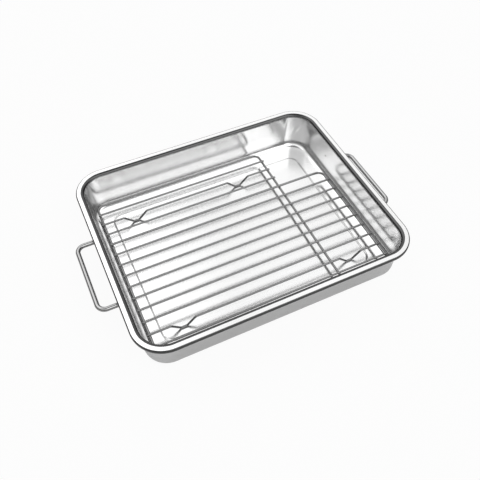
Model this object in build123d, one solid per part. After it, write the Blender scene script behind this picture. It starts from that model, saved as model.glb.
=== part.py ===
from build123d import *
import math
import os

# Stainless roasting pan with a lift-out wire rack. Lengths are in millimetres.
# The origin is the middle of the pan on the surface it stands on. +X runs along the pan to its
# right handle, +Y to the back and +Z up.

# Pressed pan
SHEET = 0.8
RIM_LENGTH = 396.0
RIM_WIDTH = 323.0
PAN_HEIGHT = 62.5
RIM_CORNER_RADIUS = 44.0

# Rim: a flat ledge, turned down at its outer edge and hemmed double
LEDGE = 11.7
LIP_RADIUS = 5.0
ROLL_RADIUS = 1.6
SKIRT_DROP = 5.0
HEM_FOLD = 3.0

# Wall and base: the wall leans in towards the base and meets it in a wide fillet
WALL_LEAN = 1.0
BASE_FILLET = 10.0
BASE_LAND = 10.0

# Raised panel pressed into the base, measured at the middle of its sloped edge
PANEL_LENGTH = 314.0
PANEL_WIDTH = 234.0
PANEL_CORNER_RADIUS = 14.0
PANEL_RISE = 1.4
STEP_RUN = 3.0
STEP_BEND_RADIUS = 3.0
STEP_LAND = 4.0

# Handles: a bent round wire at each end, its feet turned along the wall and welded to it
HANDLE_WIRE = 6.5
HANDLE_DROP = 28.5
HANDLE_REACH = 27.1
HANDLE_SPAN = 112.3
HANDLE_BEND_RADIUS = 11.0
FOOT_LENGTH = 18.0
FOOT_BEND_RADIUS = 8.0

# Rack: round wires welded where they cross, each weld sunk a little way
FRAME_WIRE = 3.5
BAR_WIRE = 3.0
WELD_SINK = 0.3
REST_GAP = 0.3
FRAME_BEND_RADIUS = 10.0

# Rack outline at the wires' middle lines
RACK_LENGTH = 347.0
RACK_BACK = 134.0
RACK_FRONT = -137.0
CROSS_WIRE_X = 97.0
BAR_OVERHANG = 2.5

# Rack bars: a row at one pitch, counted from the back
BAR_TOP_HEIGHT = 19.0
BAR_COUNT = 13
BAR_PITCH = 20.0
FIRST_BAR_Y = 114.5
TURNED_BAR_NUMBER = 4

# Rise of the frame wire to the height of the bars at its open corner
RISE_RUN = 16.5
RISE_BEND_RADIUS = 30.0

# Feet: a shallow V with a flat tip, bent into the second and the last bar but one
BACK_FOOT_BAR_NUMBER = 2
FRONT_FOOT_BAR_NUMBER = 12
BACK_FEET_X = (-125.0, 43.5)
FRONT_FEET_X = (-127.0, 127.0)
FOOT_MOUTH = 35.5
FOOT_TIP = 9.0
FOOT_TOP_BEND = 4.0
FOOT_TIP_BEND = 3.0


def wall_face_x(height):
    """Outer face of the end walls at a height above the base, before any weld."""
    lean_angle = math.atan2(WALL_LEAN, PAN_HEIGHT - SHEET)
    lean = math.tan(lean_angle) * (PAN_HEIGHT - height)
    inner_face = RIM_LENGTH / 2 - LEDGE - lean
    return inner_face + SHEET / math.cos(lean_angle)


def sweep_round_plan(section, length, width, corner_radius):
    """Sweep a section round a rounded rectangle, with the section's x inward and its y up."""
    path = RectangleRounded(length, width, corner_radius).wire()
    along = path % 0
    inward = Vector(-along.Y, along.X, 0)
    upright = Plane(origin=path @ 0, x_dir=inward, z_dir=inward.cross(Axis.Z.direction))
    return sweep(sections=upright * section, path=path)


def bent_sheet(points, bend_radii):
    """Section of the sheet below its upper skin, which runs through the points."""
    with BuildSketch() as section:
        with BuildLine():
            FilletPolyline(*points, radius=bend_radii)
            offset(amount=SHEET, side=Side.RIGHT)
        make_face()
    return section.sketch


def rim_section():
    """Skirt, roll, ledge, lip, wall, fillet and the start of the flat base."""
    foot_x = LEDGE + WALL_LEAN
    hem = 2 * SHEET
    fold_height = PAN_HEIGHT - SKIRT_DROP + SHEET
    sheet = bent_sheet(
        [
            (0, fold_height),
            (0, PAN_HEIGHT),
            (LEDGE, PAN_HEIGHT),
            (foot_x, SHEET),
            (foot_x + BASE_FILLET + BASE_LAND, SHEET),
        ],
        [ROLL_RADIUS, LIP_RADIUS, BASE_FILLET],
    )
    lower_edge = Pos(SHEET, fold_height) * Circle(SHEET)
    folded = Pos(SHEET, fold_height) * Rectangle(hem, HEM_FOLD, align=(Align.CENTER, Align.MIN))
    return sheet + lower_edge + folded


def step_section():
    """The slope between the flat border of the base and the raised panel."""
    return bent_sheet(
        [
            (-STEP_LAND, SHEET),
            (-STEP_RUN / 2, SHEET),
            (STEP_RUN / 2, SHEET + PANEL_RISE),
            (STEP_LAND, SHEET + PANEL_RISE),
        ],
        [STEP_BEND_RADIUS, STEP_BEND_RADIUS],
    )


def make_pan_body():
    """The pan, pressed from one sheet."""
    rim = sweep_round_plan(rim_section(), RIM_LENGTH, RIM_WIDTH, RIM_CORNER_RADIUS)
    step = sweep_round_plan(step_section(), PANEL_LENGTH, PANEL_WIDTH, PANEL_CORNER_RADIUS)
    reach = LEDGE + WALL_LEAN + BASE_FILLET + BASE_LAND
    border_outline = RectangleRounded(
        RIM_LENGTH - 2 * reach, RIM_WIDTH - 2 * reach, RIM_CORNER_RADIUS - reach
    )
    border_opening = RectangleRounded(
        PANEL_LENGTH + 2 * STEP_LAND, PANEL_WIDTH + 2 * STEP_LAND, PANEL_CORNER_RADIUS + STEP_LAND
    )
    panel_outline = RectangleRounded(
        PANEL_LENGTH - 2 * STEP_LAND, PANEL_WIDTH - 2 * STEP_LAND, PANEL_CORNER_RADIUS - STEP_LAND
    )
    border = extrude(border_outline - border_opening, SHEET)
    panel = Pos(0, 0, PANEL_RISE) * extrude(panel_outline, SHEET)
    return rim + border + step + panel


def bent_wire(points, bend_radii, diameter):
    """A round wire of straight runs joined by bends."""
    path = FilletPolyline(*points, radius=bend_radii)
    start = Plane(origin=path @ 0, z_dir=path % 0)
    return sweep(sections=start * Circle(diameter / 2), path=path)


def straight_wire(start, end, diameter):
    """A round wire with one straight run."""
    path = Line(start, end)
    section = Plane(origin=path @ 0, z_dir=path % 0) * Circle(diameter / 2)
    return extrude(section, path.length)


def make_handle(side):
    """A handle at the end of the pan on one side, -1 for the left and 1 for the right."""
    height = PAN_HEIGHT - HANDLE_DROP
    foot_x = side * (wall_face_x(height) + HANDLE_WIRE / 2 - WELD_SINK)
    grip_x = side * (RIM_LENGTH / 2 + HANDLE_REACH - HANDLE_WIRE / 2)
    arm_y = HANDLE_SPAN / 2
    foot_y = arm_y + FOOT_LENGTH
    points = [
        (foot_x, foot_y, height),
        (foot_x, arm_y, height),
        (grip_x, arm_y, height),
        (grip_x, -arm_y, height),
        (foot_x, -arm_y, height),
        (foot_x, -foot_y, height),
    ]
    radii = [FOOT_BEND_RADIUS, HANDLE_BEND_RADIUS, HANDLE_BEND_RADIUS, FOOT_BEND_RADIUS]
    return bent_wire(points, radii, HANDLE_WIRE)


def bar_axis_height():
    """Middle line of the bars."""
    return BAR_TOP_HEIGHT - BAR_WIRE / 2


def frame_axis_height():
    """Middle line of the frame wire below the bars that are welded on it."""
    return bar_axis_height() - (BAR_WIRE + FRAME_WIRE) / 2 + WELD_SINK


def bar_y(number):
    """Place of a bar in the row."""
    return FIRST_BAR_Y - (number - 1) * BAR_PITCH


def bar_end_x():
    """How far the bars reach from the middle, past the frame's side wires."""
    return RACK_LENGTH / 2 + BAR_OVERHANG


def make_rack_frame():
    """One wire round the rack, which rises at the open corner and ends as the fourth bar."""
    low = frame_axis_height()
    high = low + FRAME_WIRE - WELD_SINK
    middle = (low + high) / 2
    side_x = RACK_LENGTH / 2
    turned_y = bar_y(TURNED_BAR_NUMBER)
    cross_start_y = RACK_FRONT + FRAME_WIRE / 2 - WELD_SINK
    left_half = bent_wire(
        [
            (CROSS_WIRE_X, cross_start_y, low),
            (CROSS_WIRE_X, RACK_BACK, low),
            (-side_x, RACK_BACK, low),
            (-side_x, RACK_FRONT, low),
            (0, RACK_FRONT, low),
        ],
        [FRAME_BEND_RADIUS, FRAME_BEND_RADIUS, FRAME_BEND_RADIUS],
        FRAME_WIRE,
    )
    right_half = bent_wire(
        [
            (0, RACK_FRONT, low),
            (side_x, RACK_FRONT, low),
            (side_x, turned_y - RISE_RUN, low),
            (side_x, turned_y, middle),
            (side_x - RISE_RUN, turned_y, high),
            (-bar_end_x(), turned_y, high),
        ],
        [FRAME_BEND_RADIUS, RISE_BEND_RADIUS, FRAME_BEND_RADIUS, RISE_BEND_RADIUS],
        FRAME_WIRE,
    )
    return left_half + right_half


def foot_points(foot_x, y):
    """Corners of one V foot, from left to right."""
    top = bar_axis_height()
    tip = SHEET + PANEL_RISE + REST_GAP + BAR_WIRE / 2
    return [
        (foot_x - FOOT_MOUTH / 2, y, top),
        (foot_x - FOOT_TIP / 2, y, tip),
        (foot_x + FOOT_TIP / 2, y, tip),
        (foot_x + FOOT_MOUTH / 2, y, top),
    ]


def make_rack_bar(number):
    """A bar of the row, straight or with feet. Those behind the turned bar end at the cross wire."""
    y = bar_y(number)
    height = bar_axis_height()
    end_x = CROSS_WIRE_X + BAR_OVERHANG if number < TURNED_BAR_NUMBER else bar_end_x()
    start = (-bar_end_x(), y, height)
    end = (end_x, y, height)
    feet_rows = {BACK_FOOT_BAR_NUMBER: BACK_FEET_X, FRONT_FOOT_BAR_NUMBER: FRONT_FEET_X}
    feet_x = feet_rows.get(number, ())
    if not feet_x:
        return straight_wire(start, end, BAR_WIRE)
    corners = []
    radii = []
    for foot_x in feet_x:
        corners += foot_points(foot_x, y)
        radii += [FOOT_TOP_BEND, FOOT_TIP_BEND, FOOT_TIP_BEND, FOOT_TOP_BEND]
    return bent_wire([start, *corners, end], radii, BAR_WIRE)


def make_nodes():
    """Every piece of the pan and its rack under its node's name."""
    nodes = {
        "pan_body": make_pan_body(),
        "handle_left": make_handle(-1),
        "handle_right": make_handle(1),
        "rack_frame": make_rack_frame(),
    }
    for number in range(1, BAR_COUNT + 1):
        if number != TURNED_BAR_NUMBER:
            nodes[f"rack_bar_{number:02d}"] = make_rack_bar(number)
    return nodes


os.makedirs("parts", exist_ok=True)
for name, shape in make_nodes().items():
    export_step(shape, f"parts/{name}.step")
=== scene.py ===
"""Stainless roasting pan with a lift-out wire rack, dressed for a plain studio.

The pan is one pressed sheet, the handles and the rack are bent and welded round wire. Lengths are in
metres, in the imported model's frame: the origin is the middle of the pan on the surface it stands on,
+X runs to the right handle, +Y to the back and +Z up.
"""

import logging
import math
from dataclasses import dataclass, replace
from enum import Enum
from typing import Any, Iterable, Iterator, Sequence

import bpy
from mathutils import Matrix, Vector

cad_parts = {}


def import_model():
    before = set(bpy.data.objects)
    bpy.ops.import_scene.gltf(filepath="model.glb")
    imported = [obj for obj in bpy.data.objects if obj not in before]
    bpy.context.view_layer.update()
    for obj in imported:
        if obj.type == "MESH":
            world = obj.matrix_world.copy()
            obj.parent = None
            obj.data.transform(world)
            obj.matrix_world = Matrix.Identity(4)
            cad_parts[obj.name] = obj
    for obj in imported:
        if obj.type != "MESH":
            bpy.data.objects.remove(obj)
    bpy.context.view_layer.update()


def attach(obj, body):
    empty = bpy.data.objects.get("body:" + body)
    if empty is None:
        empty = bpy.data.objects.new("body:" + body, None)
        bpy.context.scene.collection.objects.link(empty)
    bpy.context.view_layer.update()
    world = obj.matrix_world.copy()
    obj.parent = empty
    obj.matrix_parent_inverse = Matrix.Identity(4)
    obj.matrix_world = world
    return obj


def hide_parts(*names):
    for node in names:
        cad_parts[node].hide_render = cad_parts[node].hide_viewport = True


log = logging.getLogger("roasting_pan")

MM = 0.001
QUARTER_TURN = math.pi / 2

# Noise that draws grain lines and slow waves: octaves of detail and how rough they are.
GRAIN_DETAIL, GRAIN_BREAKUP = 3.0, 0.55
WAVE_DETAIL, WAVE_BREAKUP = 1.0, 0.4
# Part of the noise's range over which a finish goes from its clearest to its haziest.
CLEAR_NOISE, HAZY_NOISE = 0.3, 0.7
# Turns from the blank's length to the direction in which its reflections are drawn out.
ACROSS_ROLLING = 0.25

# Weld beads: how finely they are divided, how far their sizes differ, and the seed of that.
BEAD_SUBDIVISIONS = 3
WELD_UNEVENNESS = 0.12
WELD_SEED = 7


def linear_colour(code: str) -> tuple[float, float, float, float]:
    """Turn an sRGB hex colour into linear RGBA.

    Args:
        code: six hex digits, with or without a leading hash.

    Returns:
        Linear red, green, blue and an alpha of 1.
    """
    digits = code.lstrip("#")
    channels = []
    for start in (0, 2, 4):
        value = int(digits[start:start + 2], 16) / 255
        channels.append(value / 12.92 if value <= 0.04045 else ((value + 0.055) / 1.055) ** 2.4)
    return (channels[0], channels[1], channels[2], 1.0)


def add_node(
    tree: bpy.types.NodeTree,
    kind: str,
    links: dict[Any, Any] | None = None,
    values: dict[Any, Any] | None = None,
    **settings: Any,
) -> bpy.types.Node:
    """Add a node to a tree with its settings, socket values and links.

    Args:
        tree: the node tree to add to.
        kind: the node's type identifier.
        links: input socket, by name or index, to what feeds it: an output socket, or a node for the
            first of its outputs that is in use.
        values: input socket, by name or index, to its constant value.
        **settings: properties of the node itself.

    Returns:
        The new node.
    """
    node = tree.nodes.new(kind)
    for name, value in settings.items():
        setattr(node, name, value)
    for socket, value in (values or {}).items():
        node.inputs[socket].default_value = value
    for socket, source in (links or {}).items():
        if isinstance(source, bpy.types.Node):
            source = next(output for output in source.outputs if output.enabled)
        tree.links.new(source, node.inputs[socket])
    return node


def add_object(name: str, data: bpy.types.ID) -> bpy.types.Object:
    """Put a mesh or a camera into the scene as an object."""
    made = bpy.data.objects.new(name, data)
    bpy.context.scene.collection.objects.link(made)
    return made


def add_material(name: str) -> tuple[bpy.types.Material, bpy.types.NodeTree]:
    """Make a material with an empty node tree."""
    made = bpy.data.materials.new(name)
    made.use_nodes = True
    made.node_tree.nodes.clear()
    return made, made.node_tree


class GrainSource(Enum):
    """Where a finish reads the direction of its grain from."""

    BLANK_MAP = "blank"
    WIRE_RING = "ring"
    PLACE = "place"


@dataclass(frozen=True)
class SteelFinish:
    """A bare metal finish with fine grain lines, slow waviness and haze along the lines.

    Pitches, lengths and depths are sizes on the real object, coarser where a comment says so. The
    stretch, from 0 to 1, is how far reflections are drawn out across the blank's rolling lines.
    """

    name: str
    colour: str
    roughness: float
    haze: float
    grain: GrainSource
    grain_pitch: float
    grain_length: float
    grain_depth: float
    wave_pitch: float
    wave_depth: float
    stretch: float = 0.0

    def material(self) -> bpy.types.Material:
        """Build the node material.

        Returns:
            The material, ready to go on a piece.
        """
        made, tree = add_material(self.name)
        across = self._grain_vector(tree)
        grain = add_node(
            tree, "ShaderNodeTexNoise", links={"Vector": across},
            values={"Scale": 1.0, "Detail": GRAIN_DETAIL, "Roughness": GRAIN_BREAKUP},
        )
        place = add_node(tree, "ShaderNodeTexCoord")
        wave = add_node(
            tree, "ShaderNodeTexNoise", links={"Vector": place.outputs["Object"]},
            values={"Scale": 1 / self.wave_pitch, "Detail": WAVE_DETAIL, "Roughness": WAVE_BREAKUP},
        )
        wave_bump = add_node(
            tree, "ShaderNodeBump", links={"Height": wave},
            values={"Strength": 1.0, "Distance": self.wave_depth},
        )
        grain_bump = add_node(
            tree, "ShaderNodeBump", links={"Height": grain, "Normal": wave_bump},
            values={"Strength": 1.0, "Distance": self.grain_depth},
        )
        haze = add_node(
            tree, "ShaderNodeMapRange", links={"Value": grain},
            values={
                "From Min": CLEAR_NOISE, "From Max": HAZY_NOISE,
                "To Min": self.roughness, "To Max": self.roughness + self.haze,
            },
        )
        surface = add_node(
            tree, "ShaderNodeBsdfPrincipled", links={"Roughness": haze, "Normal": grain_bump},
            values={
                "Base Color": linear_colour(self.colour), "Metallic": 1.0,
                "Anisotropic": self.stretch, "Anisotropic Rotation": ACROSS_ROLLING,
            },
        )
        if self.stretch:
            rolling = add_node(
                tree, "ShaderNodeTangent", direction_type="UV_MAP",
                uv_map=GrainSource.BLANK_MAP.value,
            )
            tree.links.new(rolling.outputs["Tangent"], surface.inputs["Tangent"])
        add_node(tree, "ShaderNodeOutputMaterial", links={"Surface": surface})
        return made

    def _grain_vector(self, tree: bpy.types.NodeTree) -> bpy.types.Node:
        """Coordinates in which one unit is one grain line across and one line's length along."""
        scale = (1 / self.grain_length, 1 / self.grain_pitch, 1 / self.grain_pitch)
        if self.grain is GrainSource.BLANK_MAP:
            source = add_node(tree, "ShaderNodeUVMap", uv_map=self.grain.value)
        elif self.grain is GrainSource.PLACE:
            source = add_node(tree, "ShaderNodeTexCoord").outputs["Object"]
        else:
            along = add_node(tree, "ShaderNodeAttribute", attribute_name="along")
            ring = add_node(tree, "ShaderNodeAttribute", attribute_name=self.grain.value)
            parts = add_node(tree, "ShaderNodeSeparateXYZ", links={"Vector": ring.outputs["Vector"]})
            source = add_node(
                tree, "ShaderNodeCombineXYZ",
                links={"X": along.outputs["Fac"], "Y": parts.outputs["X"], "Z": parts.outputs["Y"]},
            )
        return add_node(tree, "ShaderNodeMapping", links={"Vector": source}, values={"Scale": scale})


# 304 stainless sheet, bright annealed and pressed. It mirrors the rack softly, and the rolling lines
# along the blank draw the reflections out across them, so wires that lie along the lines blur away and
# wires across them stay clear. Thin sheet is also slowly wavy. Real rolling lines are about 0.05 mm
# apart, too fine to show here, so they are drawn coarser.
PRESSED_SHEET = SteelFinish(
    name="bright_annealed_stainless_sheet",
    colour="#E3E3E3",
    roughness=0.17,
    haze=0.03,
    grain=GrainSource.BLANK_MAP,
    grain_pitch=0.9 * MM,
    grain_length=60.0 * MM,
    grain_depth=0.004 * MM,
    wave_pitch=45.0 * MM,
    wave_depth=0.04 * MM,
    stretch=0.9,
)

# The same sheet where the drawing ring and the hemming roll rubbed it smooth: the bend at the inner
# edge of the ledge and the turned outer edge. Their dark colour is painted dark reflection, which edges
# the rim with thin lines.
DARK_REFLECTION_BEND = replace(
    PRESSED_SHEET,
    name="stainless_bend_painted_dark_reflection",
    colour="#505050",
    roughness=0.10,
    haze=0.05,
    grain_depth=0.002 * MM,
    wave_depth=0.05 * MM,
    stretch=0.0,
)

# Drawn 304 wire, bent and electropolished, with soft die lines that break up the long lights on it.
POLISHED_HANDLE_WIRE = SteelFinish(
    name="electropolished_stainless_wire",
    colour="#A4A4A4",
    roughness=0.12,
    haze=0.06,
    grain=GrainSource.WIRE_RING,
    grain_pitch=0.8 * MM,
    grain_length=30.0 * MM,
    grain_depth=0.004 * MM,
    wave_pitch=12.0 * MM,
    wave_depth=0.01 * MM,
)

# Steel wire with bright nickel and chrome plating, smoother than the sheet. Its colour is darker than
# the sheet's as painted dark reflection, so that the rack stands out from the base below it.
PLATED_RACK_WIRE_PAINTED_DARK = SteelFinish(
    name="plated_steel_wire_painted_dark",
    colour="#808080",
    roughness=0.10,
    haze=0.05,
    grain=GrainSource.WIRE_RING,
    grain_pitch=0.6 * MM,
    grain_length=25.0 * MM,
    grain_depth=0.002 * MM,
    wave_pitch=10.0 * MM,
    wave_depth=0.006 * MM,
)

# Metal squeezed out at the resistance welds. It froze matt, so it takes no sharp lights.
SQUEEZED_WELD = SteelFinish(
    name="resistance_weld_squeeze_out",
    colour="#8A8A8A",
    roughness=0.22,
    haze=0.14,
    grain=GrainSource.PLACE,
    grain_pitch=0.5 * MM,
    grain_length=0.5 * MM,
    grain_depth=0.03 * MM,
    wave_pitch=2.0 * MM,
    wave_depth=0.05 * MM,
)


@dataclass(frozen=True)
class ProfilePoint:
    """A point of a sheet's section, with its outward normal."""

    inset: float
    height: float
    normal_inset: float
    normal_height: float


def rounded_section(
    corners: Sequence[tuple[float, float]], radii: Sequence[float], steps: int
) -> list[ProfilePoint]:
    """Round the corners of an open section and find its normals.

    Args:
        corners: inset and height of each corner, with the surface on the left of the way taken.
        radii: one bend radius for each inner corner.
        steps: facets in each bend.

    Returns:
        The section's points with unit normals, in order.
    """
    points = [Vector((*corner, 0.0)) for corner in corners]
    ways = [(b - a).normalized() for a, b in zip(points, points[1:])]
    placed: list[tuple[Vector, Vector]] = [(points[0], _left_of(ways[0]))]
    for corner, radius, before, after in zip(points[1:], radii, ways, ways[1:]):
        turn = before.cross(after).z
        angle = math.atan2(turn, before.dot(after))
        side = 1.0 if angle > 0 else -1.0
        start = corner - before * (radius * math.tan(abs(angle) / 2))
        centre = start + _left_of(before) * (radius * side)
        for step in range(steps + 1):
            swing = angle * step / steps
            out = _turned(_left_of(before), swing)
            placed.append((centre - out * (radius * side), out))
    placed.append((points[-1], _left_of(ways[-1])))
    return [ProfilePoint(place.x, place.y, normal.x, normal.y) for place, normal in placed]


def _left_of(way: Vector) -> Vector:
    """The unit vector a quarter turn to the left of a flat one."""
    return Vector((-way.y, way.x, 0.0))


def _turned(way: Vector, angle: float) -> Vector:
    """A flat vector turned by an angle."""
    cosine, sine = math.cos(angle), math.sin(angle)
    return Vector((way.x * cosine - way.y * sine, way.x * sine + way.y * cosine, 0.0))


@dataclass(frozen=True)
class RoundedPlan:
    """A rounded rectangle in plan, from which sections step inward."""

    length: float
    width: float
    corner_radius: float

    def loop(self, inset: float, corner_steps: int) -> list[tuple[Vector, Vector]]:
        """Places and outward directions round the plan, stepped in by an inset.

        Args:
            inset: distance inward from the outline.
            corner_steps: facets in each corner.

        Returns:
            Pairs of a place and a unit outward direction, both flat, anticlockwise.
        """
        radius = self.corner_radius - inset
        centre_x = self.length / 2 - self.corner_radius
        centre_y = self.width / 2 - self.corner_radius
        placed = []
        for quarter, (side_x, side_y) in enumerate(((1, 1), (-1, 1), (-1, -1), (1, -1))):
            centre = Vector((side_x * centre_x, side_y * centre_y, 0.0))
            for step in range(corner_steps + 1):
                angle = QUARTER_TURN * (quarter + step / corner_steps)
                out = Vector((math.cos(angle), math.sin(angle), 0.0))
                placed.append((centre + out * radius, out))
        return placed


# A ring of the pan's shell: its plan, its point of the section, and -1 on the panel's underside, where
# the section's normals are turned over, or else 1.
Ring = tuple[RoundedPlan, ProfilePoint, int]


@dataclass(frozen=True)
class PressedPan:
    """The pan: one sheet pressed to a tray with a ledge, a hemmed edge and a raised panel.

    The two shares give the radii at the hem's edges as parts of the sheet. The lip reach, in lip radii,
    is how far down the band of painted dark reflection can go. The two normals are the upward part of a
    unit normal, where that band ends on the lip and from where on a surface counts as flat.
    """

    finish: SteelFinish = PRESSED_SHEET
    # Finish with painted dark reflection, for the lip's bend and the hem's edge.
    dark_reflection_finish: SteelFinish = DARK_REFLECTION_BEND
    rim: RoundedPlan = RoundedPlan(396.0 * MM, 323.0 * MM, 44.0 * MM)
    panel: RoundedPlan = RoundedPlan(314.0 * MM, 234.0 * MM, 14.0 * MM)
    height: float = 62.5 * MM
    sheet: float = 0.8 * MM
    ledge: float = 11.7 * MM
    lip_radius: float = 5.0 * MM
    roll_radius: float = 1.6 * MM
    skirt_drop: float = 5.0 * MM
    hem_fold: float = 3.0 * MM
    wall_lean: float = 1.0 * MM
    base_fillet: float = 10.0 * MM
    base_land: float = 10.0 * MM
    panel_rise: float = 1.4 * MM
    step_run: float = 3.0 * MM
    step_bend: float = 3.0 * MM
    step_land: float = 4.0 * MM
    corner_steps: int = 20
    bend_steps: int = 10
    half_round_share: float = 0.98
    fold_edge_share: float = 0.2
    lip_reach: float = 1.3
    lip_end_normal: float = 0.35
    flat_normal: float = 0.999

    @property
    def foot(self) -> float:
        """Inset of the wall where it would meet the base without its fillet."""
        return self.ledge + self.wall_lean

    @property
    def land(self) -> float:
        """Inset at which the rim's section ends, on the flat base."""
        return self.foot + self.base_fillet + self.base_land

    @property
    def lean(self) -> float:
        """Angle between the wall and the vertical."""
        return math.atan2(self.wall_lean, self.height - self.sheet)

    def wall_face_x(self, height: float) -> float:
        """Outer face of the end walls at a height above the base."""
        inner = self.rim.length / 2 - self.ledge - math.tan(self.lean) * (self.height - height)
        return inner + self.sheet / math.cos(self.lean)

    def upper_section(self) -> list[ProfilePoint]:
        """The upper skin from the flat base out to the lower edge of the hem."""
        lowest = self.height - self.skirt_drop
        corners = [
            (self.land, self.sheet),
            (self.foot, self.sheet),
            (self.ledge, self.height),
            (0.0, self.height),
            (0.0, lowest),
            (self.sheet, lowest),
        ]
        half_round = self.sheet * self.half_round_share
        radii = [self.base_fillet, self.lip_radius, self.roll_radius, half_round]
        return _flipped(rounded_section(corners, radii, self.bend_steps))

    def lower_section(self) -> list[ProfilePoint]:
        """The lower skin from the hem's lower edge back to the flat base."""
        lowest = self.height - self.skirt_drop
        fold_top = lowest + self.sheet + self.hem_fold
        shift = self.sheet * math.tan((QUARTER_TURN - self.lean) / 2)
        corners = [
            (self.sheet, lowest),
            (2 * self.sheet, lowest),
            (2 * self.sheet, fold_top),
            (self.sheet, fold_top),
            (self.sheet, self.height - self.sheet),
            (self.ledge - shift, self.height - self.sheet),
            (self.foot - shift, 0.0),
            (self.land, 0.0),
        ]
        fold_edge = self.sheet * self.fold_edge_share
        radii = [
            self.sheet * self.half_round_share,
            fold_edge,
            fold_edge,
            self.roll_radius - self.sheet,
            self.lip_radius - self.sheet,
            self.base_fillet + self.sheet,
        ]
        return _flipped(rounded_section(corners, radii, self.bend_steps))

    def step_section(self, skin: float) -> list[ProfilePoint]:
        """One skin of the step up to the raised panel, from the panel outward.

        Args:
            skin: height of the skin above the underside of the flat base.

        Returns:
            The section, with insets counted inward from the panel's plan.
        """
        slope = math.atan2(self.panel_rise, self.step_run)
        below = self.sheet - skin
        shift = below * math.tan(slope / 2)
        corners = [
            (self.step_land, skin + self.panel_rise),
            (self.step_run / 2 + shift, skin + self.panel_rise),
            (-self.step_run / 2 + shift, skin),
            (-self.step_land, skin),
        ]
        radii = [self.step_bend - below, self.step_bend + below]
        return _flipped(rounded_section(corners, radii, self.bend_steps // 2))

    def rings(self) -> list[Ring]:
        """The shell's rings, from the raised panel out over the rim and back underneath."""
        rings = [(self.panel, point, 1) for point in self.step_section(self.sheet)]
        rings += [(self.rim, point, 1) for point in self.upper_section()]
        rings += [(self.rim, point, 1) for point in self.lower_section()[1:]]
        rings += [(self.panel, point, -1) for point in reversed(self.step_section(0.0))]
        return rings

    def build(self) -> bpy.types.Object:
        """Make the pan as one closed shell with exact normals.

        Returns:
            The pan's object.
        """
        rings = self.rings()
        placed = [row for ring in rings for row in self._ring_points(ring)]
        positions, normals, blank = zip(*placed)
        count = 4 * (self.corner_steps + 1)
        faces = [list(range(count))]
        slots = [0]
        for number, pair in enumerate(zip(rings, rings[1:])):
            low, high = number * count, (number + 1) * count
            # Faces on the lip's bend and the hem's edge take the second material, with painted dark
            # reflection.
            slots += [int(self._painted_dark_band(pair))] * count
            for column in range(count):
                following = (column + 1) % count
                faces.append([low + column, high + column, high + following, low + following])
        last = (len(rings) - 1) * count
        faces.append([last + column for column in reversed(range(count))])
        slots.append(0)
        mesh = bpy.data.meshes.new("pan_shell")
        mesh.from_pydata(positions, [], faces)
        mesh.polygons.foreach_set("use_smooth", [True] * len(faces))
        mesh.polygons.foreach_set("material_index", slots)
        layer = mesh.uv_layers.new(name=GrainSource.BLANK_MAP.value)
        for loop in mesh.loops:
            layer.data[loop.index].uv = blank[loop.vertex_index]
        mesh.normals_split_custom_set_from_vertices(normals)
        mesh.materials.append(self.finish.material())
        mesh.materials.append(self.dark_reflection_finish.material())
        return add_object("pan_shell", mesh)

    def _painted_dark_band(self, pair: tuple[Ring, Ring]) -> bool:
        """Whether the faces between two rings get the painted dark reflection: the ledge's inner bend
        or its outer edge.
        """
        if any(plan is not self.rim for plan, _, _ in pair):
            return False
        points = [point for _, point, _ in pair]
        near_top = min(p.height for p in points) > self.height - self.lip_reach * self.lip_radius
        flat = all(p.normal_height > self.flat_normal for p in points)
        at_wall = any(
            p.inset > self.ledge / 2 and p.normal_height < self.lip_end_normal for p in points
        )
        return near_top and not flat and not at_wall

    def _ring_points(
        self, ring: Ring
    ) -> Iterator[tuple[tuple[float, ...], tuple[float, ...], tuple[float, ...]]]:
        """Place, normal and flat-blank coordinates of each point of a ring."""
        plan, point, facing = ring
        for place, out in plan.loop(point.inset, self.corner_steps):
            normal = out * (-point.normal_inset * facing)
            normal.z = point.normal_height * facing
            flat = place
            if plan is self.rim:
                rise = point.height * (1 if point.inset > self.sheet else -1)
                spread = max(self.land - point.inset, 0.0) + rise
                flat = place + out * (point.inset - self.land + spread)
            yield (place.x, place.y, point.height), tuple(normal), tuple(flat.xy)


def _flipped(section: list[ProfilePoint]) -> list[ProfilePoint]:
    """The same section with its normals turned to the other side."""
    return [ProfilePoint(p.inset, p.height, -p.normal_inset, -p.normal_height) for p in section]


class PieceTree:
    """A Geometry Nodes tree with named inputs, which makes pieces as plain meshes."""

    def __init__(self, name: str, geometry: str, inputs: dict[str, str]) -> None:
        """Make the empty tree and its sockets.

        Args:
            name: the tree's name.
            geometry: name of the input that takes the holder's own mesh.
            inputs: the kind of each further input, by name.
        """
        self.tree = bpy.data.node_groups.new(name, "GeometryNodeTree")
        interface = self.tree.interface
        interface.new_socket("Geometry", in_out="OUTPUT", socket_type="NodeSocketGeometry")
        interface.new_socket(geometry, in_out="INPUT", socket_type="NodeSocketGeometry")
        self.sockets = {
            label: interface.new_socket(label, in_out="INPUT", socket_type=kind).identifier
            for label, kind in inputs.items()
        }

    def finish(self, solid: bpy.types.Node, material: bpy.types.NodeSocket) -> None:
        """End the tree: give the solid its material and put it out."""
        dressed = add_node(
            self.tree, "GeometryNodeSetMaterial", links={"Geometry": solid, "Material": material}
        )
        add_node(self.tree, "NodeGroupOutput", links={"Geometry": dressed})

    def bake(
        self, holder: bpy.types.Object, name: str, inputs: dict[str, Any]
    ) -> bpy.types.Object:
        """Run the tree on a holder, keep the result as a plain mesh and delete the holder.

        Args:
            holder: the object whose mesh the tree starts from.
            name: the piece's name.
            inputs: values of the tree's named inputs.

        Returns:
            The piece, with no modifier left on it.
        """
        modifier = holder.modifiers.new(self.tree.name, "NODES")
        modifier.node_group = self.tree
        for label, value in inputs.items():
            modifier[self.sockets[label]] = value
        graph = bpy.context.evaluated_depsgraph_get()
        mesh = bpy.data.meshes.new_from_object(holder.evaluated_get(graph))
        mesh.name = name
        start_mesh = holder.data
        bpy.data.objects.remove(holder)
        bpy.data.meshes.remove(start_mesh)
        return add_object(name, mesh)


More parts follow.
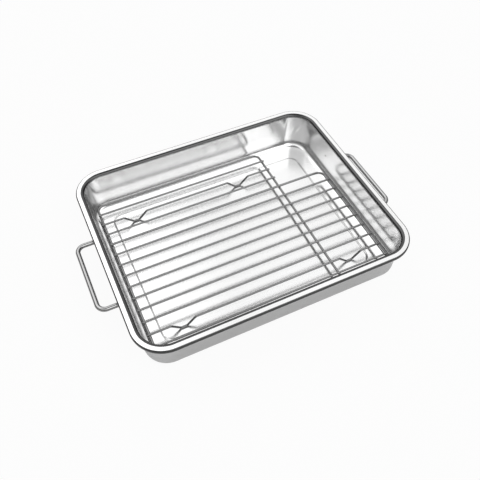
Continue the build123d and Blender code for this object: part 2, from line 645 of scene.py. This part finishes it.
class WireTree(PieceTree):
    """Turns guide lines into round bent wire, with copies along a row."""

    def __init__(self) -> None:
        """Build the node tree once, for every wire of the object."""
        super().__init__("bent_wire", "Guide", {
            "Diameter": "NodeSocketFloat",
            "Sides": "NodeSocketInt",
            "Bend Steps": "NodeSocketInt",
            "Copies": "NodeSocketInt",
            "Copy Offset": "NodeSocketVector",
            "Material": "NodeSocketMaterial",
        })
        self._wire()

    def _wire(self) -> None:
        """Place and link the tree's nodes."""
        tree = self.tree
        given = add_node(tree, "NodeGroupInput").outputs
        guide = add_node(tree, "GeometryNodeMeshToCurve", links={"Mesh": given["Guide"]})
        bend, girth = (
            add_node(tree, "GeometryNodeInputNamedAttribute", values={"Name": name}, data_type="FLOAT")
            for name in ("bend", "girth")
        )
        bent = add_node(
            tree, "GeometryNodeFilletCurve", mode="POLY",
            links={"Curve": guide, "Count": given["Bend Steps"], "Radius": bend},
        )
        length = add_node(tree, "GeometryNodeSplineParameter")
        marked = add_node(
            tree, "GeometryNodeStoreNamedAttribute", data_type="FLOAT", domain="POINT",
            values={"Name": "along"},
            links={"Geometry": bent, "Value": length.outputs["Length"]},
        )
        sized = add_node(tree, "GeometryNodeSetCurveRadius", links={"Curve": marked, "Radius": girth})
        half = add_node(
            tree, "ShaderNodeMath", operation="DIVIDE",
            links={0: given["Diameter"]}, values={1: 2.0},
        )
        circle = add_node(
            tree, "GeometryNodeCurvePrimitiveCircle",
            links={"Resolution": given["Sides"], "Radius": half},
        )
        place = add_node(tree, "GeometryNodeInputPosition")
        ring = add_node(
            tree, "GeometryNodeStoreNamedAttribute", data_type="FLOAT_VECTOR", domain="POINT",
            values={"Name": GrainSource.WIRE_RING.value},
            links={"Geometry": circle, "Value": place},
        )
        wire = add_node(
            tree, "GeometryNodeCurveToMesh", values={"Fill Caps": True},
            links={"Curve": sized, "Profile Curve": ring},
        )
        smooth = add_node(tree, "GeometryNodeSetShadeSmooth", links={"Geometry": wire})
        row = add_node(
            tree, "GeometryNodeMeshLine",
            links={"Count": given["Copies"], "Offset": given["Copy Offset"]},
        )
        copies = add_node(
            tree, "GeometryNodeInstanceOnPoints", links={"Points": row, "Instance": smooth}
        )
        real = add_node(tree, "GeometryNodeRealizeInstances", links={"Geometry": copies})
        self.finish(real, given["Material"])


class WeldTree(PieceTree):
    """Sets a slightly uneven flat bead at each place of a weld."""

    def __init__(self) -> None:
        """Build the node tree once, for the rack and the handles."""
        super().__init__("weld_beads", "Places", {
            "Size": "NodeSocketVector",
            "Unevenness": "NodeSocketFloat",
            "Seed": "NodeSocketInt",
            "Material": "NodeSocketMaterial",
        })
        self._beads()

    def _beads(self) -> None:
        """Place and link the tree's nodes."""
        tree = self.tree
        given = add_node(tree, "NodeGroupInput").outputs
        ball = add_node(
            tree, "GeometryNodeMeshIcoSphere",
            values={"Radius": 1.0, "Subdivisions": BEAD_SUBDIVISIONS},
        )
        least, most = (
            add_node(
                tree, "ShaderNodeMath", operation=operation, links={1: given["Unevenness"]},
                values={0: 1.0},
            )
            for operation in ("SUBTRACT", "ADD")
        )
        share = add_node(
            tree, "FunctionNodeRandomValue", data_type="FLOAT",
            links={"Min": least, "Max": most, "Seed": given["Seed"]},
        )
        size = add_node(
            tree, "ShaderNodeVectorMath", operation="SCALE",
            links={0: given["Size"], "Scale": share.outputs["Value"]},
        )
        beads = add_node(
            tree, "GeometryNodeInstanceOnPoints",
            links={"Points": given["Places"], "Instance": ball, "Scale": size},
        )
        real = add_node(tree, "GeometryNodeRealizeInstances", links={"Geometry": beads})
        smooth = add_node(tree, "GeometryNodeSetShadeSmooth", links={"Geometry": real})
        self.finish(smooth, given["Material"])

    def make(
        self,
        name: str,
        places: Sequence[tuple[float, float, float]],
        size: tuple[float, float, float],
        finish: bpy.types.Material,
    ) -> bpy.types.Object:
        """Set a bead at each place and keep the result as a plain mesh.

        Args:
            name: the piece's name.
            places: the middle of each bead.
            size: half the bead's size along x, y and z.
            finish: the beads' material.

        Returns:
            The beads as one object.
        """
        mesh = bpy.data.meshes.new(name + "_places")
        mesh.from_pydata(list(places), [], [])
        return self.bake(add_object(name + "_places", mesh), name, {
            "Size": size, "Unevenness": WELD_UNEVENNESS, "Seed": WELD_SEED, "Material": finish,
        })


@dataclass
class WireGuide:
    """The middle line of a bent wire: its corners, their bend radii and its rounded ends.

    Girth is a share of the wire's full thickness, which it has again one end round from its end.
    """

    corners: list[tuple[float, float, float]]
    bends: list[float]
    end_round: float = 0.35 * MM
    end_girth: float = 0.72
    straight_guard: float = 0.4 * MM

    def object(self, name: str) -> bpy.types.Object:
        """Make the guide line as an object whose vertices carry bend and girth.

        Args:
            name: name of the wire that will follow it.

        Returns:
            The guide's object.
        """
        points = [Vector(corner) for corner in self.corners]
        first_way = (points[1] - points[0]).normalized()
        last_way = (points[-1] - points[-2]).normalized()
        rows = [
            (points[0], 0.0, self.end_girth),
            (points[0] + first_way * self.end_round, 0.0, 1.0),
            *self._bend_rows(points),
            (points[-1] - last_way * self.end_round, 0.0, 1.0),
            (points[-1], 0.0, self.end_girth),
        ]
        places, bends, girths = zip(*rows)
        mesh = bpy.data.meshes.new(name + "_guide")
        edges = [(start, start + 1) for start in range(len(places) - 1)]
        mesh.from_pydata([tuple(place) for place in places], edges, [])
        mesh.attributes.new("bend", "FLOAT", "POINT").data.foreach_set("value", bends)
        mesh.attributes.new("girth", "FLOAT", "POINT").data.foreach_set("value", girths)
        return add_object(name + "_guide", mesh)

    def _bend_rows(self, points: list[Vector]) -> list[tuple[Vector, float, float]]:
        """Each bent corner between two points that keep the straight runs' shading straight."""
        rows = []
        for before, corner, after, radius in zip(points, points[1:], points[2:], self.bends):
            way_in = (corner - before).normalized()
            way_out = (after - corner).normalized()
            reach = radius * math.tan(way_in.angle(way_out) / 2) + self.straight_guard
            rows.append((corner - way_in * reach, 0.0, 1.0))
            rows.append((corner, radius, 1.0))
            rows.append((corner + way_out * reach, 0.0, 1.0))
        return rows


@dataclass
class WireHandle:
    """A fixed handle: one bent wire whose feet lie along the end wall and are welded to it."""

    side: int
    pan: PressedPan
    finish: bpy.types.Material
    wire: float = 6.5 * MM
    drop: float = 28.5 * MM
    reach: float = 27.1 * MM
    span: float = 112.3 * MM
    foot_length: float = 18.0 * MM
    grip_bend: float = 11.0 * MM
    foot_bend: float = 8.0 * MM
    weld_sink: float = 0.3 * MM
    weld_from_end: float = 3.5 * MM
    weld_size: tuple[float, float, float] = (0.9 * MM, 2.6 * MM, 2.5 * MM)
    end_round: float = 0.8 * MM
    end_girth: float = 0.78
    sides: int = 32
    bend_steps: int = 14

    @property
    def height(self) -> float:
        """Middle line of the wire."""
        return self.pan.height - self.drop

    def build(self, tree: WireTree, name: str) -> bpy.types.Object:
        """Bend the handle.

        Args:
            tree: the wire-bending nodes.
            name: the piece's name.

        Returns:
            The handle's object.
        """
        foot_x = self.pan.wall_face_x(self.height) + self.wire / 2 - self.weld_sink
        grip_x = self.pan.rim.length / 2 + self.reach - self.wire / 2
        arm_y = self.span / 2
        line = [(foot_x, arm_y + self.foot_length), (foot_x, arm_y), (grip_x, arm_y)]
        line += [(x, -y) for x, y in reversed(line)]
        corners = [(self.side * x, y, self.height) for x, y in line]
        bends = [self.foot_bend, self.grip_bend, self.grip_bend, self.foot_bend]
        guide = WireGuide(corners, bends, self.end_round, self.end_girth)
        return tree.bake(guide.object(name), name, {
            "Diameter": self.wire, "Sides": self.sides, "Bend Steps": self.bend_steps,
            "Copies": 1, "Material": self.finish,
        })

    def weld_places(self) -> list[tuple[float, float, float]]:
        """Where the two feet are welded on the wall, near each end of their straight runs."""
        x = self.side * self.pan.wall_face_x(self.height)
        near = self.span / 2 + self.foot_bend + self.weld_from_end
        far = self.span / 2 + self.foot_length - self.weld_from_end
        return [(x, y, self.height) for y in (near, far, -near, -far)]


@dataclass
class WireRack:
    """The rack: one bent frame wire, a row of bars and two bars with V feet, welded together."""

    finish: bpy.types.Material
    base_top: float
    frame_wire: float = 3.5 * MM
    bar_wire: float = 3.0 * MM
    bar_top: float = 19.0 * MM
    weld_sink: float = 0.3 * MM
    rest_gap: float = 0.3 * MM
    side_x: float = 173.5 * MM
    back_y: float = 134.0 * MM
    front_y: float = -137.0 * MM
    cross_x: float = 97.0 * MM
    overhang: float = 2.5 * MM
    frame_bend: float = 10.0 * MM
    first_bar_y: float = 114.5 * MM
    pitch: float = 20.0 * MM
    bar_count: int = 13
    turned_bar: int = 4
    rise_run: float = 16.5 * MM
    rise_bend: float = 30.0 * MM
    foot_mouth: float = 35.5 * MM
    foot_tip: float = 9.0 * MM
    foot_top_bend: float = 4.0 * MM
    foot_tip_bend: float = 3.0 * MM
    back_feet_x: tuple[float, ...] = (-125.0 * MM, 43.5 * MM)
    front_feet_x: tuple[float, ...] = (-127.0 * MM, 127.0 * MM)
    weld_size: tuple[float, float, float] = (2.1 * MM, 1.9 * MM, 0.55 * MM)
    sides: int = 24
    frame_bend_steps: int = 12
    foot_bend_steps: int = 8

    @property
    def bar_height(self) -> float:
        """Middle line of the bars."""
        return self.bar_top - self.bar_wire / 2

    @property
    def low(self) -> float:
        """Middle line of the frame wire below the bars that are welded on it."""
        return self.bar_height - (self.bar_wire + self.frame_wire) / 2 + self.weld_sink

    @property
    def high(self) -> float:
        """Middle line of the frame wire where it comes back over itself as the fourth line."""
        return self.low + self.frame_wire - self.weld_sink

    @property
    def foot_tip_height(self) -> float:
        """Middle line of the wire at the flat tip of a foot."""
        return self.base_top + self.rest_gap + self.bar_wire / 2

    def bar_y(self, number: int) -> float:
        """Place of a bar, counted from the back."""
        return self.first_bar_y - (number - 1) * self.pitch

    def bar_end(self, number: int) -> float:
        """Right end of a bar."""
        behind = number < self.turned_bar
        return (self.cross_x if behind else self.side_x) + self.overhang

    def build_frame(self, tree: WireTree) -> bpy.types.Object:
        """Bend the frame wire, from its weld on the front run round to the fourth line's end.

        Args:
            tree: the wire-bending nodes.

        Returns:
            The frame's object.
        """
        middle = (self.low + self.high) / 2
        turned_y = self.bar_y(self.turned_bar)
        corners = [
            (self.cross_x, self.front_y + self.frame_wire / 2, self.low),
            (self.cross_x, self.back_y, self.low),
            (-self.side_x, self.back_y, self.low),
            (-self.side_x, self.front_y, self.low),
            (self.side_x, self.front_y, self.low),
            (self.side_x, turned_y - self.rise_run, self.low),
            (self.side_x, turned_y, middle),
            (self.side_x - self.rise_run, turned_y, self.high),
            (-self.side_x - self.overhang, turned_y, self.high),
        ]
        bends = [self.frame_bend] * 4 + [self.rise_bend, self.frame_bend, self.rise_bend]
        name = "rack_frame_wire"
        return tree.bake(WireGuide(corners, bends).object(name), name, {
            "Diameter": self.frame_wire, "Sides": self.sides,
            "Bend Steps": self.frame_bend_steps, "Copies": 1, "Material": self.finish,
        })

    def build_bars(
        self, tree: WireTree, name: str, first: int, copies: int, step: int = 1
    ) -> bpy.types.Object:
        """Make straight bars at an even spacing.

        Args:
            tree: the wire-bending nodes.
            name: the piece's name.
            first: number of the first bar.
            copies: how many bars.
            step: how many places from one bar to the next.

        Returns:
            The bars as one object.
        """
        y = self.bar_y(first)
        corners = [
            (-self.side_x - self.overhang, y, self.bar_height),
            (self.bar_end(first), y, self.bar_height),
        ]
        return tree.bake(WireGuide(corners, []).object(name), name, {
            "Diameter": self.bar_wire, "Sides": self.sides, "Bend Steps": 1, "Copies": copies,
            "Copy Offset": (0.0, -self.pitch * step, 0.0), "Material": self.finish,
        })

    def build_foot_bar(
        self, tree: WireTree, name: str, number: int, feet_x: Iterable[float]
    ) -> bpy.types.Object:
        """Make a bar that dips to a flat-tipped V at each foot.

        Args:
            tree: the wire-bending nodes.
            name: the piece's name.
            number: the bar's number, counted from the back.
            feet_x: the middle of each foot.

        Returns:
            The bar's object.
        """
        y = self.bar_y(number)
        corners = [(-self.side_x - self.overhang, y, self.bar_height)]
        bends = []
        for x in feet_x:
            corners += [
                (x - self.foot_mouth / 2, y, self.bar_height),
                (x - self.foot_tip / 2, y, self.foot_tip_height),
                (x + self.foot_tip / 2, y, self.foot_tip_height),
                (x + self.foot_mouth / 2, y, self.bar_height),
            ]
            bends += [self.foot_top_bend, self.foot_tip_bend, self.foot_tip_bend, self.foot_top_bend]
        corners.append((self.bar_end(number), y, self.bar_height))
        return tree.bake(WireGuide(corners, bends).object(name), name, {
            "Diameter": self.bar_wire, "Sides": self.sides,
            "Bend Steps": self.foot_bend_steps, "Copies": 1, "Material": self.finish,
        })

    def build_welds(self, tree: WeldTree, finish: bpy.types.Material) -> bpy.types.Object:
        """Make the small beads where the bars cross the frame wire.

        Args:
            tree: the weld nodes.
            finish: the beads' material.

        Returns:
            All the rack's welds as one object.
        """
        height = self.low + self.frame_wire / 2 - self.weld_sink / 2
        places = []
        for number in range(1, self.bar_count + 1):
            y = self.bar_y(number)
            crossed = [-self.side_x, self.cross_x]
            if number > self.turned_bar:
                crossed.append(self.side_x)
            places += [(x, y, height) for x in crossed]
        places.append((self.cross_x, self.front_y + self.frame_wire / 2, self.low))
        return tree.make("rack_weld_beads", places, self.weld_size, finish)


@dataclass(frozen=True)
class SoftBox:
    """A lamp behind a large diffuser, seen from the object as a soft round patch of light."""

    azimuth: float
    elevation: float
    spread: float
    level: float

    def way(self) -> Vector:
        """Direction of the lamp, with its azimuth counted from the back over the right side."""
        azimuth, elevation = math.radians(self.azimuth), math.radians(self.elevation)
        flat = math.cos(elevation)
        return Vector((flat * math.sin(azimuth), flat * math.cos(azimuth), math.sin(elevation)))


@dataclass(frozen=True)
class Studio:
    """A white room for a photograph: a bright band of walls, three soft boxes and a dark ceiling.

    Each level is a height above the horizon in degrees and the light that comes from it. The bright
    band is what the base and the ledge mirror. Wire takes its dark lines from the dark ceiling and
    from the dark band near the floor. A colour ramp ends at 1, so it holds each level as a share of the
    full one. The two white shares are how much of the floor looks pure white, to the camera and in the
    metal.
    """

    floor_colour: str = "#CCCCCC"
    floor_half: float = 4.0
    floor_drop: float = 0.3 * MM
    white_to_camera: float = 0.94
    white_to_metal: float = 0.10
    levels: tuple[tuple[float, float], ...] = (
        (0.0, 0.15), (20.0, 0.2), (33.0, 0.45),
        (40.0, 0.92), (48.0, 1.1), (60.0, 1.45),
        (67.0, 1.1), (74.0, 0.3), (90.0, 0.05),
    )
    full_level: float = 3.0
    boxes: tuple[SoftBox, ...] = (
        SoftBox(155.0, 48.0, 34.0, 1.2),
        SoftBox(335.0, 50.0, 30.0, 0.75),
        SoftBox(25.0, 8.0, 45.0, 0.7),
    )

    def build(self) -> None:
        """Make the room and its floor."""
        self._room()
        self._floor()

    def _room(self) -> None:
        """The world: a level for each height above the horizon, the soft boxes, white to the camera."""
        world = bpy.data.worlds.new("studio_room")
        world.use_nodes = True
        bpy.context.scene.world = world
        tree = world.node_tree
        tree.nodes.clear()
        way = add_node(tree, "ShaderNodeTexCoord").outputs["Generated"]
        height = add_node(tree, "ShaderNodeSeparateXYZ", links={0: way}).outputs["Z"]
        ramp = add_node(tree, "ShaderNodeValToRGB", links={"Fac": height})
        stops = ramp.color_ramp.elements
        given_stops = len(stops)
        for index, (angle, level) in enumerate(self.levels):
            place = math.sin(math.radians(angle))
            stop = stops[index] if index < given_stops else stops.new(place)
            stop.position = place
            share = level / self.full_level
            stop.color = (share, share, share, 1.0)
        light = add_node(
            tree, "ShaderNodeMath", operation="MULTIPLY",
            links={0: ramp}, values={1: self.full_level},
        )
        for box in self.boxes:
            light = self._add_box(tree, way, light, box)
        seen = add_node(tree, "ShaderNodeLightPath")
        strength = add_node(
            tree, "ShaderNodeMix", data_type="FLOAT",
            links={0: seen.outputs["Is Camera Ray"], 2: light}, values={3: 1.0},
        )
        back = add_node(
            tree, "ShaderNodeBackground", links={"Strength": strength},
            values={"Color": (1.0, 1.0, 1.0, 1.0)},
        )
        add_node(tree, "ShaderNodeOutputWorld", links={"Surface": back})

    def _add_box(
        self,
        tree: bpy.types.NodeTree,
        way: bpy.types.NodeSocket,
        light: bpy.types.Node,
        box: SoftBox,
    ) -> bpy.types.Node:
        """Add a soft box to the light that comes from each direction."""
        toward = add_node(
            tree, "ShaderNodeVectorMath", operation="DOT_PRODUCT",
            links={0: way}, values={1: box.way()},
        )
        patch = add_node(
            tree, "ShaderNodeMapRange", interpolation_type="SMOOTHSTEP",
            links={"Value": toward.outputs["Value"]},
            values={
                "From Min": math.cos(math.radians(box.spread)),
                "From Max": math.cos(math.radians(box.spread / 2)),
                "To Min": 0.0, "To Max": box.level,
            },
        )
        return add_node(tree, "ShaderNodeMath", operation="ADD", links={0: light, 1: patch})

    def _floor(self) -> None:
        """A plain floor, white to the camera, that still takes a soft shadow."""
        half, low = self.floor_half, -self.floor_drop
        mesh = bpy.data.meshes.new("floor")
        corners = [(-half, -half, low), (half, -half, low), (half, half, low), (-half, half, low)]
        mesh.from_pydata(corners, [], [(0, 1, 2, 3)])
        floor = add_object("floor", mesh)
        made, tree = add_material("white_paper_floor")
        paper = add_node(
            tree, "ShaderNodeBsdfDiffuse", values={"Color": linear_colour(self.floor_colour)}
        )
        white = add_node(tree, "ShaderNodeEmission", values={"Strength": 1.0})
        seen = add_node(tree, "ShaderNodeLightPath")
        camera_share = add_node(
            tree, "ShaderNodeMath", operation="MULTIPLY",
            links={0: seen.outputs["Is Camera Ray"]}, values={1: self.white_to_camera},
        )
        share = add_node(
            tree, "ShaderNodeMath", operation="MULTIPLY_ADD",
            links={0: seen.outputs["Is Glossy Ray"], 2: camera_share},
            values={1: self.white_to_metal},
        )
        both = add_node(tree, "ShaderNodeMixShader", links={0: share, 1: paper, 2: white})
        add_node(tree, "ShaderNodeOutputMaterial", links={"Surface": both})
        mesh.materials.append(made)


@dataclass(frozen=True)
class PhotoCamera:
    """The photograph's camera, fitted to the rim, the rack and the handles."""

    place: tuple[float, float, float] = (-214.3 * MM, -465.7 * MM, 663.9 * MM)
    forward: tuple[float, float, float] = (0.2583, 0.5518, -0.7930)
    sensor_mm: float = 36.0
    lens_mm: float = 42.28
    nearest: float = 0.01
    farthest: float = 20.0

    def build(self) -> None:
        """Make the camera and hand it to the scene."""
        data = bpy.data.cameras.new("photo_camera")
        data.sensor_width = self.sensor_mm
        data.lens = self.lens_mm
        data.clip_start = self.nearest
        data.clip_end = self.farthest
        holder = add_object("photo_camera", data)
        holder.location = self.place
        holder.rotation_mode = "QUATERNION"
        holder.rotation_quaternion = Vector(self.forward).to_track_quat("-Z", "Y")
        bpy.context.scene.camera = holder


def seat(piece: bpy.types.Object, body: str, nodes: Sequence[str]) -> None:
    """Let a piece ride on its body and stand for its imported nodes.

    Args:
        piece: the finished piece.
        body: the body that it moves with.
        nodes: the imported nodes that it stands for.
    """
    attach(piece, body)
    if nodes:
        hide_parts(*nodes)
    log.info("%s: %d faces on body %s", piece.name, len(piece.data.polygons), body)


def build_pan(tree: WireTree, welds: WeldTree, weld_metal: bpy.types.Material) -> PressedPan:
    """Build the pan with its welded handles.

    Args:
        tree: the wire-bending nodes.
        welds: the weld nodes.
        weld_metal: the material of the welds.

    Returns:
        The pan, for the rack to stand in.
    """
    pan = PressedPan()
    seat(pan.build(), "pan", ["pan_body"])
    handle_steel = POLISHED_HANDLE_WIRE.material()
    weld_places = []
    for side, name in ((-1, "handle_left"), (1, "handle_right")):
        handle = WireHandle(side, pan, handle_steel)
        seat(handle.build(tree, name + "_wire"), "pan", [name])
        weld_places += handle.weld_places()
    beads = welds.make("handle_weld_beads", weld_places, WireHandle.weld_size, weld_metal)
    seat(beads, "pan", [])
    return pan


def build_rack(
    pan: PressedPan, tree: WireTree, welds: WeldTree, weld_metal: bpy.types.Material
) -> None:
    """Build the rack that stands on the pan's raised panel.

    Args:
        pan: the pan below it.
        tree: the wire-bending nodes.
        welds: the weld nodes.
        weld_metal: the material of the welds.
    """
    rack = WireRack(PLATED_RACK_WIRE_PAINTED_DARK.material(), pan.sheet + pan.panel_rise)
    seat(rack.build_frame(tree), "rack", ["rack_frame"])
    straight = (("rack_bars_short", 1, 2, 2), ("rack_bars_long", 5, 7, 1), ("rack_bar_front", 13, 1, 1))
    for name, first, copies, step in straight:
        bars = rack.build_bars(tree, name, first, copies, step)
        numbers = range(first, first + copies * step, step)
        seat(bars, "rack", [f"rack_bar_{number:02d}" for number in numbers])
    footed = (
        ("rack_foot_bar_back", 2, rack.back_feet_x),
        ("rack_foot_bar_front", 12, rack.front_feet_x),
    )
    for name, number, feet_x in footed:
        bar = rack.build_foot_bar(tree, name, number, feet_x)
        seat(bar, "rack", [f"rack_bar_{number:02d}"])
    seat(rack.build_welds(welds, weld_metal), "rack", [])


def main() -> None:
    """Build the whole scene, piece by piece."""
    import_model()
    logging.basicConfig(level=logging.INFO, format="%(message)s")
    bpy.context.scene.view_settings.view_transform = "Standard"
    PhotoCamera().build()
    Studio().build()

    tree = WireTree()
    welds = WeldTree()
    weld_metal = SQUEEZED_WELD.material()
    pan = build_pan(tree, welds, weld_metal)
    build_rack(pan, tree, welds, weld_metal)


if __name__ == "__main__":
    main()
